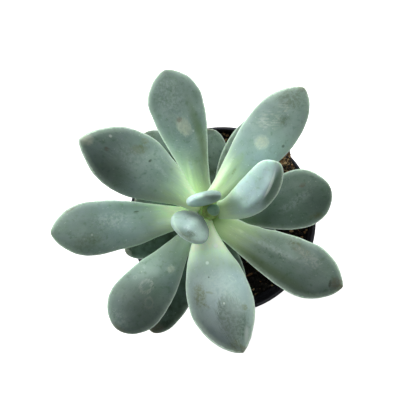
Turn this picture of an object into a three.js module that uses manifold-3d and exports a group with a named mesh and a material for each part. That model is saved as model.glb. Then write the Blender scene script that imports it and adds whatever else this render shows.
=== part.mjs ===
import * as THREE from 'three';
import { mergeVertices } from 'three/addons/utils/BufferGeometryUtils.js';
import Module from 'manifold-3d';

// A rosette succulent on a short leaning stem, in a round nursery pot of soil.
// Millimetres and degrees. +Z is up, and headings turn counterclockwise from +X.
// The origin is the middle of the pot's flat underside.

const SEAT_GAP = 0.3;

// Pot: a tapered shell with a band round its mouth
const RIM_RADIUS = 50;
const POT_HEIGHT = 88;
const POT_WALL = 1.4;
const BAND_HEIGHT = 10;
const BAND_STEP = 1.2;
const WALL_TAPER = 0.13;
const LIP_ROUND = 0.5;
const POT_SIDES = 64;

// Pot floor: a flat pad and a foot ring, with a raised channel between them
const FLOOR_THICKNESS = 1.6;
const PAD_RADIUS = 23;
const CHANNEL_HEIGHT = 2.6;
const CHANNEL_SLOPE = 1;
const FOOT_WIDTH = 3.4;
const HOLE_COUNT = 6;
const HOLE_RADIUS = 4;

// Soil: tilted, with a heap against the rim
const SOIL_LEVEL = 78;
const SOIL_TILT = 4;
const SOIL_TILT_HEADING = 60;
const HEAP_HEIGHT = 9;
const HEAP_HEADING = 42;
const HEAP_RADIUS = 42;
const HEAP_SPREAD = 12;
const CRUMB = 0.45;
const SOIL_EDGE = 0.8;
const SOIL_SECTORS = 48;
const SOIL_RINGS = 11;

// Stem: leans from the soil to the growing tip
const STEM_FOOT = new THREE.Vector3(-3, 2, 62);
const STEM_TIP = new THREE.Vector3(-7.5, 5.5, 125);
const STEM_FOOT_RADIUS = 5;
const STEM_NECK_RADIUS = 4.1;
const STEM_TIP_RADIUS = 1.4;
const STEM_TAPER = 4;
const STEM_SIDES = 20;
const STEM_RINGS = 7;
const TIP_RINGS = 4;

// Leaf insertions: the first leaf stands at the tip, each later one lower on the stem
const FIRST_INSERTION = 122;
const INSERTION_PITCH = 1.35;

// Leaf body
const LEAF_RINGS = 14;
const LEAF_SIDES = 16;
const LEAF_THICKNESS = 0.42;
const NECK_THICKNESS = 0.31;
const UPPER_SHARE = 0.42;
const UPPER_POWER = 1.15;
const LOWER_POWER = 0.85;
const MIDLINE_STEPS = 48;

// Leaves from the growing tip down. heading and rise say which way a leaf points,
// curl is how far it bends up and sweep how far it bends sideways from base to tip.
// aside is how far its base stands to the left of its heading on the stem. widest is
// where it is widest, neck the width of its base, swell how late it widens, point how
// sharp its tip is, stout how thick it is beside the others and edge how thin its margins.
const LEAVES = [
  {
    heading: 350, length: 9.8, width: 5.6, rise: 88, curl: 60,
    aside: 0.7, widest: 0.5, neck: 0.6, stout: 1.8, edge: 0.8,
  },
  {
    heading: 103, length: 24, width: 17, rise: 88, curl: -10,
    aside: 1.2, widest: 0.6, neck: 0.4, point: 0.5, stout: 0.82, edge: 0.7,
  },
  {
    heading: 234, length: 30, width: 20, rise: 80, curl: -22,
    aside: -2.9, widest: 0.68, neck: 0.34, point: 0.45, edge: 0.85,
  },
  {
    heading: 43, length: 48.5, width: 17.6, rise: 50, curl: -10,
    sweep: 75, aside: 0, widest: 0.53, neck: 0.5, swell: 1.4, point: 0.33,
  },
  {
    heading: 150.5, length: 70.2, width: 31, rise: 24, curl: 6,
    sweep: 20, aside: 2.2, widest: 0.61, neck: 0.23, swell: 1.6, point: 0.8,
  },
  {
    heading: 287, length: 69, width: 31.2, rise: 20, curl: 8,
    sweep: 25, aside: -3.2, widest: 0.59, neck: 0.25, swell: 1.3, point: 0.76,
  },
  {
    heading: 50, length: 72.6, width: 25.8, rise: 20, curl: 8,
    sweep: 8, aside: 4, widest: 0.65, neck: 0.31, swell: 1.45, point: 0.65,
  },
  {
    heading: 187, length: 75, width: 26.2, rise: 13.5, curl: 9,
    sweep: -2, aside: 0.7, widest: 0.74, neck: 0.29, point: 0.72,
  },
  {
    heading: 333, length: 71, width: 26.8, rise: 14, curl: 8,
    sweep: 9, aside: -2.8, widest: 0.71, neck: 0.46, swell: 2.1, point: 0.75,
  },
  {
    heading: 106.5, length: 69.5, width: 26.8, rise: 12, curl: 8,
    sweep: 5, aside: 2.1, widest: 0.76, neck: 0.38, swell: 2.3, point: 0.66,
  },
  {
    heading: 233, length: 70.2, width: 28.4, rise: 9, curl: 9,
    sweep: -4, aside: -2.6, widest: 0.76, neck: 0.18, swell: 2,
  },
  {
    heading: 13, length: 57, width: 29.2, rise: 8, curl: 6,
    sweep: 17, aside: -1, widest: 0.73, point: 0.58,
  },
  { heading: 172, length: 35, width: 17, rise: -3, curl: 6, neck: 0.3 },
  { heading: 285.5, length: 42, width: 17, rise: 2, curl: 4 },
  { heading: 64, length: 50, width: 18, rise: 0, curl: 4, widest: 0.56, neck: 0.36 },
  { heading: 204.5, length: 44.5, width: 17.5, rise: -2, curl: 4 },
  { heading: 336, length: 32, width: 16, rise: -2, curl: 4, neck: 0.3 },
  { heading: 131, length: 50, width: 23, rise: -4, curl: 4 },
  { heading: 243.5, length: 66, width: 22, rise: -6, curl: 4 },
  { heading: 92, length: 40, width: 18.5, rise: -10, curl: 6 },
];

// The later leaves are older, darker ones under the rosette
const ROSETTE_LEAVES = 12;

const LEAF_DEFAULTS = {
  sweep: 0, aside: 0, widest: 0.66, neck: 0.27, swell: 1.5, point: 0.55, stout: 1, edge: 1,
};

const wasm = await Module();
wasm.setup();

const degrees = THREE.MathUtils.degToRad;

// Solids and geometries

function toSolid(geometry) {
  const bare = geometry.clone();
  bare.deleteAttribute('normal');
  bare.deleteAttribute('uv');
  const merged = mergeVertices(bare, 1e-4);
  const mesh = new wasm.Mesh({
    numProp: 3,
    vertProperties: new Float32Array(merged.attributes.position.array),
    triVerts: new Uint32Array(merged.index.array),
  });
  return new wasm.Manifold(mesh);
}

function toGeometry(solid) {
  const mesh = solid.getMesh();
  const geometry = new THREE.BufferGeometry();
  geometry.setAttribute('position', new THREE.BufferAttribute(mesh.vertProperties, 3));
  geometry.setIndex(new THREE.BufferAttribute(mesh.triVerts, 1));
  geometry.computeVertexNormals();
  return geometry;
}

// A closed skin over rings of equally many points, capped by a fan at each end.
// Seen from the last end, the points of a ring run counterclockwise.
function loft(rings, firstEnd, lastEnd) {
  const sides = rings[0].length;
  const positions = [];
  for (const ring of rings) {
    for (const point of ring) positions.push(point.x, point.y, point.z);
  }
  const index = [];
  for (let row = 0; row < rings.length - 1; row++) {
    for (let side = 0; side < sides; side++) {
      const next = (side + 1) % sides;
      const a = row * sides + side;
      const b = row * sides + next;
      index.push(a, b, b + sides, a, b + sides, a + sides);
    }
  }
  const first = positions.length / 3;
  const last = first + 1;
  positions.push(firstEnd.x, firstEnd.y, firstEnd.z, lastEnd.x, lastEnd.y, lastEnd.z);
  const top = (rings.length - 1) * sides;
  for (let side = 0; side < sides; side++) {
    const next = (side + 1) % sides;
    index.push(first, next, side);
    index.push(last, top + side, top + next);
  }
  const geometry = new THREE.BufferGeometry();
  geometry.setAttribute('position', new THREE.Float32BufferAttribute(positions, 3));
  geometry.setIndex(index);
  geometry.computeVertexNormals();
  return geometry;
}

function part(name, geometry, color, roughness) {
  const material = new THREE.MeshStandardMaterial({ color, roughness, metalness: 0 });
  const mesh = new THREE.Mesh(geometry, material);
  mesh.name = name;
  return mesh;
}

// Pot

const innerLip = RIM_RADIUS - POT_WALL;
const bandFoot = POT_HEIGHT - BAND_HEIGHT;
const floorTop = CHANNEL_HEIGHT + FLOOR_THICKNESS;

// Radius of the pot's inside at a height, with the step under the band as a slope
function insideRadius(z) {
  const below = THREE.MathUtils.clamp((bandFoot + BAND_STEP - z) / (2 * BAND_STEP), 0, 1);
  return innerLip - BAND_STEP * below - (POT_HEIGHT - z) * WALL_TAPER;
}

function outsideRadius(z) {
  return insideRadius(z) + POT_WALL;
}

function potGeometry() {
  const footOuter = outsideRadius(0);
  const footInner = footOuter - FOOT_WIDTH;
  const profile = [
    [0, 0],
    [PAD_RADIUS, 0],
    [PAD_RADIUS + CHANNEL_SLOPE, CHANNEL_HEIGHT],
    [footInner - CHANNEL_SLOPE, CHANNEL_HEIGHT],
    [footInner, 0],
    [footOuter - LIP_ROUND, 0],
    [outsideRadius(LIP_ROUND), LIP_ROUND],
    [outsideRadius(bandFoot - BAND_STEP), bandFoot - BAND_STEP],
    [outsideRadius(bandFoot + BAND_STEP) - LIP_ROUND, bandFoot - BAND_STEP],
    [outsideRadius(bandFoot + BAND_STEP), bandFoot],
    [RIM_RADIUS, POT_HEIGHT - LIP_ROUND],
    [RIM_RADIUS - LIP_ROUND, POT_HEIGHT],
    [innerLip + LIP_ROUND / 2, POT_HEIGHT],
    [innerLip, POT_HEIGHT - LIP_ROUND],
    [insideRadius(bandFoot + BAND_STEP), bandFoot + BAND_STEP],
    [insideRadius(bandFoot - BAND_STEP), bandFoot - BAND_STEP],
    [insideRadius(floorTop), floorTop],
    [PAD_RADIUS, floorTop],
    [PAD_RADIUS - CHANNEL_SLOPE, FLOOR_THICKNESS],
    [0, FLOOR_THICKNESS],
  ];
  const points = profile.map(([radius, z]) => new THREE.Vector2(radius, z));
  const shell = new THREE.LatheGeometry(points, POT_SIDES).rotateX(Math.PI / 2);
  let solid = toSolid(shell);
  const holeCircle = (PAD_RADIUS + footInner) / 2;
  for (let i = 0; i < HOLE_COUNT; i++) {
    const turn = (i / HOLE_COUNT) * 2 * Math.PI;
    const drill = new THREE.CylinderGeometry(HOLE_RADIUS, HOLE_RADIUS, 4 * CHANNEL_HEIGHT, 20);
    drill.rotateX(Math.PI / 2);
    drill.translate(holeCircle * Math.cos(turn), holeCircle * Math.sin(turn), CHANNEL_HEIGHT);
    solid = solid.subtract(toSolid(drill));
  }
  return toGeometry(solid);
}

// Stem

const stemNeck = FIRST_INSERTION - STEM_TAPER;

function stemRadius(z) {
  if (z < stemNeck) {
    const t = THREE.MathUtils.clamp((z - STEM_FOOT.z) / (stemNeck - STEM_FOOT.z), 0, 1);
    return THREE.MathUtils.lerp(STEM_FOOT_RADIUS, STEM_NECK_RADIUS, t);
  }
  const t = THREE.MathUtils.smoothstep(z, stemNeck, STEM_TIP.z);
  return THREE.MathUtils.lerp(STEM_NECK_RADIUS, STEM_TIP_RADIUS, t);
}

function stemCentre(z) {
  const t = (z - STEM_FOOT.z) / (STEM_TIP.z - STEM_FOOT.z);
  return new THREE.Vector3().lerpVectors(STEM_FOOT, STEM_TIP, t);
}

// The stem, or the same form grown by a gap to cut its hole in the soil
function stemGeometry(grow) {
  const heights = [];
  for (let i = 0; i < STEM_RINGS; i++) {
    heights.push(THREE.MathUtils.lerp(STEM_FOOT.z - grow, stemNeck, i / STEM_RINGS));
  }
  for (let i = 0; i <= TIP_RINGS; i++) {
    heights.push(THREE.MathUtils.lerp(stemNeck, STEM_TIP.z, i / TIP_RINGS));
  }
  const rings = heights.map((z) => {
    const centre = stemCentre(z);
    const radius = stemRadius(z) + grow;
    return Array.from({ length: STEM_SIDES }, (_, side) => {
      const turn = (side / STEM_SIDES) * 2 * Math.PI;
      const rim = new THREE.Vector3(Math.cos(turn), Math.sin(turn), 0);
      return rim.multiplyScalar(radius).add(centre);
    });
  });
  return loft(rings, stemCentre(heights[0]), stemCentre(STEM_TIP.z + SEAT_GAP));
}

// Soil

function soilTop(radius, turn) {
  const share = radius / insideRadius(SOIL_LEVEL);
  const tilt = SOIL_TILT * share * Math.cos(turn - degrees(SOIL_TILT_HEADING));
  const x = radius * Math.cos(turn);
  const y = radius * Math.sin(turn);
  const heapX = HEAP_RADIUS * Math.cos(degrees(HEAP_HEADING));
  const heapY = HEAP_RADIUS * Math.sin(degrees(HEAP_HEADING));
  const far = Math.hypot(x - heapX, y - heapY) / HEAP_SPREAD;
  const heap = HEAP_HEIGHT * Math.exp(-far * far);
  const crumbs = Math.sin(0.55 * x + 1.3) * Math.sin(0.61 * y) + Math.sin(0.93 * x - 0.71 * y);
  return SOIL_LEVEL + tilt + heap + CRUMB * crumbs;
}

// Radius of the soil at a height, clear of the pot's wall and of the slope in it
function soilRadius(z) {
  return insideRadius(Math.min(z, POT_HEIGHT) - 2 * SEAT_GAP) - 2 * SEAT_GAP;
}

function soilGeometry() {
  const bottom = floorTop + SEAT_GAP;
  const at = (radius, turn, z) => new THREE.Vector3(radius * Math.cos(turn), radius * Math.sin(turn), z);
  const rings = Array.from({ length: SOIL_RINGS + 4 }, () => []);
  for (let sector = 0; sector < SOIL_SECTORS; sector++) {
    const turn = (sector / SOIL_SECTORS) * 2 * Math.PI;
    const edgeTop = soilTop(soilRadius(SOIL_LEVEL), turn);
    const edge = soilRadius(edgeTop);
    const lower = Math.min(bandFoot - BAND_STEP, edgeTop - 2 * SOIL_EDGE);
    const upper = Math.min(bandFoot + 2 * BAND_STEP, edgeTop - SOIL_EDGE);
    rings[0].push(at(soilRadius(bottom), turn, bottom));
    rings[1].push(at(soilRadius(lower), turn, lower));
    rings[2].push(at(soilRadius(upper), turn, upper));
    for (let ring = 0; ring <= SOIL_RINGS; ring++) {
      const radius = edge * (1 - ring / (SOIL_RINGS + 1));
      rings[3 + ring].push(at(radius, turn, soilTop(radius, turn)));
    }
  }
  const body = loft(rings, new THREE.Vector3(0, 0, bottom), new THREE.Vector3(0, 0, soilTop(0, 0)));
  return toGeometry(toSolid(body).subtract(toSolid(stemGeometry(SEAT_GAP))));
}

// Leaves

function halfWidth(leaf, s) {
  const half = leaf.width / 2;
  if (s < leaf.widest) {
    const rise = Math.sin((Math.PI / 2) * (s / leaf.widest)) ** leaf.swell;
    return half * (leaf.neck + (1 - leaf.neck) * rise);
  }
  const u = (s - leaf.widest) / (1 - leaf.widest);
  return half * (1 - u * u) ** leaf.point;
}

function thickness(leaf, s) {
  const full = LEAF_THICKNESS * leaf.stout * leaf.width;
  if (s < 0.5) return full * (NECK_THICKNESS + (1 - NECK_THICKNESS) * Math.sin(Math.PI * s));
  return full * Math.sqrt(1 - (2 * s - 1) ** 2.6);
}

// The frame of a leaf at a share s of its length: forward, sideways and up
function leafFrame(leaf, s) {
  const slope = degrees(leaf.rise + leaf.curl * s);
  const head = degrees(leaf.heading + leaf.sweep * (s - 0.5));
  const level = new THREE.Vector3(Math.cos(head), Math.sin(head), 0);
  const forward = level.clone().multiplyScalar(Math.cos(slope));
  forward.z = Math.sin(slope);
  const side = new THREE.Vector3(-Math.sin(head), Math.cos(head), 0);
  const up = new THREE.Vector3().crossVectors(forward, side);
  return { level, forward, side, up };
}

function leafBase(leaf, number) {
  const z = FIRST_INSERTION - INSERTION_PITCH * number;
  const { level, side } = leafFrame(leaf, 0);
  const lean = 0.5 * thickness(leaf, 0) * Math.abs(Math.sin(degrees(leaf.rise)));
  const out = stemRadius(z) + SEAT_GAP + lean;
  return stemCentre(z).addScaledVector(level, out).addScaledVector(side, leaf.aside);
}

// Midline points, from the base to the tip
function midline(leaf, base) {
  const points = [base.clone()];
  const step = leaf.length / MIDLINE_STEPS;
  for (let i = 0; i < MIDLINE_STEPS; i++) {
    const { forward } = leafFrame(leaf, (i + 0.5) / MIDLINE_STEPS);
    points.push(points[i].clone().addScaledVector(forward, step));
  }
  return points;
}

function pointAt(points, s) {
  const place = s * MIDLINE_STEPS;
  const low = Math.min(Math.floor(place), MIDLINE_STEPS - 1);
  return new THREE.Vector3().lerpVectors(points[low], points[low + 1], place - low);
}

function leafSection(leaf, s, centre) {
  const { side, up } = leafFrame(leaf, s);
  const half = halfWidth(leaf, s);
  const thick = thickness(leaf, s);
  return Array.from({ length: LEAF_SIDES }, (_, i) => {
    const turn = (i / LEAF_SIDES) * 2 * Math.PI;
    const across = half * Math.cos(turn);
    const sine = Math.sin(turn);
    const upper = UPPER_SHARE * Math.abs(sine) ** (UPPER_POWER * leaf.edge);
    const lower = (1 - UPPER_SHARE) * Math.abs(sine) ** (LOWER_POWER * leaf.edge);
    const rise = thick * (sine > 0 ? upper : -lower);
    return centre.clone().addScaledVector(side, across).addScaledVector(up, rise);
  });
}

function leafGeometry(row, number) {
  const leaf = { ...LEAF_DEFAULTS, ...row };
  const points = midline(leaf, leafBase(leaf, number));
  const rings = [];
  for (let ring = 0; ring < LEAF_RINGS; ring++) {
    const k = ring / LEAF_RINGS;
    const s = 0.35 * k + 0.65 * Math.sin((Math.PI / 2) * k);
    rings.push(leafSection(leaf, s, pointAt(points, s)));
  }
  return loft(rings, points[0], points[MIDLINE_STEPS]);
}

// The plant in its pot

const plant = new THREE.Group();
plant.add(part('pot', potGeometry(), 0x25252a, 0.45));
plant.add(part('soil', soilGeometry(), 0x2a211b, 0.95));
plant.add(part('stem', stemGeometry(0), 0x8f9a6a, 0.7));
LEAVES.forEach((row, number) => {
  const name = `leaf_${String(number + 1).padStart(2, '0')}`;
  const color = number < ROSETTE_LEAVES ? 0x8aa69a : 0x6a7f6e;
  plant.add(part(name, leafGeometry(row, number), color, 0.6));
});

export default plant;
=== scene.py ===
import math

import bpy
import numpy as np
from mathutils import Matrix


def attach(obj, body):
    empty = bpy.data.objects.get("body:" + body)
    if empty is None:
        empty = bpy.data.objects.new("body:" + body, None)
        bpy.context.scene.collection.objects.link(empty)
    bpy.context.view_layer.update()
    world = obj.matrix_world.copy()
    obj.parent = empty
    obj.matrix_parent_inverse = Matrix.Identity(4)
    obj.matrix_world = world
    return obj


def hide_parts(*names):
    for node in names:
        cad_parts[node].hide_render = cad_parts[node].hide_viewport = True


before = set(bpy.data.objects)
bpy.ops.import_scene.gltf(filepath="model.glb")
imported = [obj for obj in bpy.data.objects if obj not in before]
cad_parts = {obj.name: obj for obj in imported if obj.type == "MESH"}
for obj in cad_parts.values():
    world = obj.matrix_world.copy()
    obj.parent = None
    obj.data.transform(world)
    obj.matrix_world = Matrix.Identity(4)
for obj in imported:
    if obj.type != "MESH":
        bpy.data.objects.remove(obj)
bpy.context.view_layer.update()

# A rosette succulent in a nursery pot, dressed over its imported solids.
# Shapes are worked out in millimetres and degrees, as the solids are, and every mesh
# is scaled to metres when it is made. Headings turn counterclockwise from +X.

MM = 0.001
SEED = 20

# Pot
RIM_RADIUS = 50.0
POT_HEIGHT = 88.0
POT_WALL = 1.4
BAND_HEIGHT = 10.0
BAND_STEP = 1.2
WALL_TAPER = 0.13
FLOOR_THICKNESS = 1.6
PAD_RADIUS = 23.0
CHANNEL_HEIGHT = 2.6
CHANNEL_SLOPE = 1.0
FOOT_WIDTH = 3.4
HOLE_COUNT = 6
HOLE_RADIUS = 4.0
POT_SIDES = 180

# Soil
SOIL_LEVEL = 78.0
SOIL_TILT = 4.0
SOIL_TILT_HEADING = 60.0
HEAP_HEIGHT = 9.0
HEAP_HEADING = 42.0
HEAP_RADIUS = 42.0
HEAP_SPREAD = 12.0
SOIL_SECTORS = 144
SOIL_RINGS = 60
SOIL_SIDE_LEVELS = (30.0, 55.0, 75.0)
SOIL_CLEARANCE = 0.35
BED_DROP = 1.0
BED_DRYNESS = 0.12
GRAIN_COUNT = 6200
GRAIN_REACH = 47.6
GRAIN_CLEARANCE = 0.6
FIBRE_FROM = 0.93
FLAKE_FROM = 0.86
SPILL_COUNT = 520
SPILL_TOP = 89.6
SPILL_OVER_RIM = 4.0
CHIP_DRYNESS = 0.85

# Stem
STEM_FOOT = np.array([-3.0, 2.0, 62.0])
STEM_TIP = np.array([-7.5, 5.5, 125.0])
STEM_FOOT_RADIUS = 5.0
STEM_NECK_RADIUS = 4.1
STEM_TIP_RADIUS = 1.4
STEM_TAPER = 4.0
STEM_SIDES = 72
STEM_ROWS = 220

# Leaf insertions and leaf body
SEAT_GAP = 0.3
FIRST_INSERTION = 122.0
INSERTION_PITCH = 1.35
LEAF_THICKNESS = 0.42
NECK_THICKNESS = 0.31
UPPER_SHARE = 0.42
UPPER_POWER = 1.15
LOWER_POWER = 0.85
LEAF_ROWS = 84
LEAF_SIDES = 56
ROOTED = 1.2

# Leaves from the growing tip down, as the solids have them. heading and rise say which
# way a leaf points, curl is how far it bends up and sweep how far it bends sideways from
# base to tip. aside is how far its base stands to the left of its heading on the stem.
# widest is where it is widest, neck the width of its base, swell how late it widens, point
# how sharp its tip is, stout how thick it is beside the others and edge how thin its margins.
LEAF_DEFAULTS = dict(
    sweep=0, aside=0, widest=0.66, neck=0.27, swell=1.5, point=0.55, stout=1, edge=1,
)
LEAVES = [
    dict(heading=350, length=9.8, width=5.6, rise=88, curl=60,
         aside=0.7, widest=0.5, neck=0.6, stout=1.8, edge=0.8),
    dict(heading=103, length=24, width=17, rise=88, curl=-10,
         aside=1.2, widest=0.6, neck=0.4, point=0.5, stout=0.82, edge=0.7),
    dict(heading=234, length=30, width=20, rise=80, curl=-22,
         aside=-2.9, widest=0.68, neck=0.34, point=0.45, edge=0.85),
    dict(heading=43, length=48.5, width=17.6, rise=50, curl=-10,
         sweep=75, widest=0.53, neck=0.5, swell=1.4, point=0.33),
    dict(heading=150.5, length=70.2, width=31, rise=24, curl=6,
         sweep=20, aside=2.2, widest=0.61, neck=0.23, swell=1.6, point=0.8),
    dict(heading=287, length=69, width=31.2, rise=20, curl=8,
         sweep=25, aside=-3.2, widest=0.59, neck=0.25, swell=1.3, point=0.76),
    dict(heading=50, length=72.6, width=25.8, rise=20, curl=8,
         sweep=8, aside=4, widest=0.65, neck=0.31, swell=1.45, point=0.65),
    dict(heading=187, length=75, width=26.2, rise=13.5, curl=9,
         sweep=-2, aside=0.7, widest=0.74, neck=0.29, point=0.72),
    dict(heading=333, length=71, width=26.8, rise=14, curl=8,
         sweep=9, aside=-2.8, widest=0.71, neck=0.46, swell=2.1, point=0.75),
    dict(heading=106.5, length=69.5, width=26.8, rise=12, curl=8,
         sweep=5, aside=2.1, widest=0.76, neck=0.38, swell=2.3, point=0.66),
    dict(heading=233, length=70.2, width=28.4, rise=9, curl=9,
         sweep=-4, aside=-2.6, widest=0.76, neck=0.18, swell=2),
    dict(heading=13, length=57, width=29.2, rise=8, curl=6,
         sweep=17, aside=-1, widest=0.73, point=0.58),
    dict(heading=172, length=35, width=17, rise=-3, curl=6, neck=0.3),
    dict(heading=285.5, length=42, width=17, rise=2, curl=4),
    dict(heading=64, length=50, width=18, rise=0, curl=4, widest=0.56, neck=0.36),
    dict(heading=204.5, length=44.5, width=17.5, rise=-2, curl=4),
    dict(heading=336, length=32, width=16, rise=-2, curl=4, neck=0.3),
    dict(heading=131, length=50, width=23, rise=-4, curl=4),
    dict(heading=243.5, length=66, width=22, rise=-6, curl=4),
    dict(heading=92, length=40, width=18.5, rise=-10, curl=6),
]
ROSETTE_LEAVES = 12

# How each leaf's skin differs. bloom is how much pale wax it keeps. base, middle and outer
# are how light it is along its length, partly its own tone and partly painted light and shade.
# The side term is painted light: how much lighter its left side is than its right, near its
# base and further out. rim is how pale its margin is, partly its own paleness and partly a
# painted glow, green how yellow-green its base and tip how brown its very end.
SKIN_DEFAULTS = dict(
    bloom=0.6, base=1.0, middle=1.0, outer=0.72, left=(0.0, 0.0), rim=0.6, green=1.0, tip=0.3,
)
SKINS = {
    0: dict(bloom=0.05, base=1.1, middle=1.45, outer=1.4, rim=0.1),
    1: dict(bloom=0.95, middle=1.4, outer=1.5, left=(-0.15, 0.35), rim=0.2),
    2: dict(bloom=0.9, base=0.4, middle=0.45, outer=1.15, left=(0.25, 0.05), rim=0.3, tip=0.4),
    3: dict(bloom=1.0, base=0.95, middle=1.7, outer=1.65, left=(-0.2, 0.4), rim=0.8, tip=0.1),
    4: dict(bloom=0.55, base=1.7, middle=0.95, outer=0.43, left=(-0.2, -0.05), rim=0.7),
    5: dict(bloom=0.95, base=2.7, middle=0.82, outer=0.42, left=(0.05, 0.5), rim=0.8, tip=0.8),
    6: dict(bloom=0.75, base=1.45, middle=1.25, outer=0.76, left=(0.25, -0.15), rim=0.7, tip=0.7),
    7: dict(base=2.2, middle=1.1, outer=0.62, left=(-0.4, -0.05)),
    8: dict(bloom=0.4, base=1.25, middle=0.48, outer=0.34, left=(0.3, 0.25), rim=0.8, tip=1.0),
    9: dict(bloom=0.55, base=1.1, middle=0.92, outer=0.64, left=(0.5, 0.0), rim=0.8),
    10: dict(bloom=0.5, base=1.2, middle=0.85, outer=0.39, left=(0.15, -0.32), rim=0.5,
             green=0.5, tip=0.5),
    11: dict(bloom=0.3, middle=0.5, outer=0.48, rim=0.8, green=0.3),
}
OLD_SKIN = dict(bloom=0.15, base=0.55, middle=0.55, outer=0.55, rim=0.5, green=0.3, tip=0.9)

# Creases: soft lengthwise folds of the upper face, as (leaf, across from -1 to 1,
# height, width, from share, to share of the length)
CREASES = [
    (3, -0.36, 1.6, 2.6, 0.35, 1.0),
    (2, 0.1, 1.1, 2.6, 0.3, 1.0),
    (8, 0.15, 0.7, 2.6, 0.05, 0.75),
    (9, -0.42, 0.5, 2.2, 0.02, 0.55),
    (9, 0.3, 0.25, 1.6, 0.02, 0.35),
    (6, 0.35, 0.4, 2.2, 0.03, 0.4),
    (4, 0.1, 0.3, 2.0, 0.03, 0.4),
    (7, 0.35, 0.25, 2.0, 0.03, 0.4),
    (5, 0.45, 0.5, 2.4, 0.75, 1.0),
]

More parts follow.
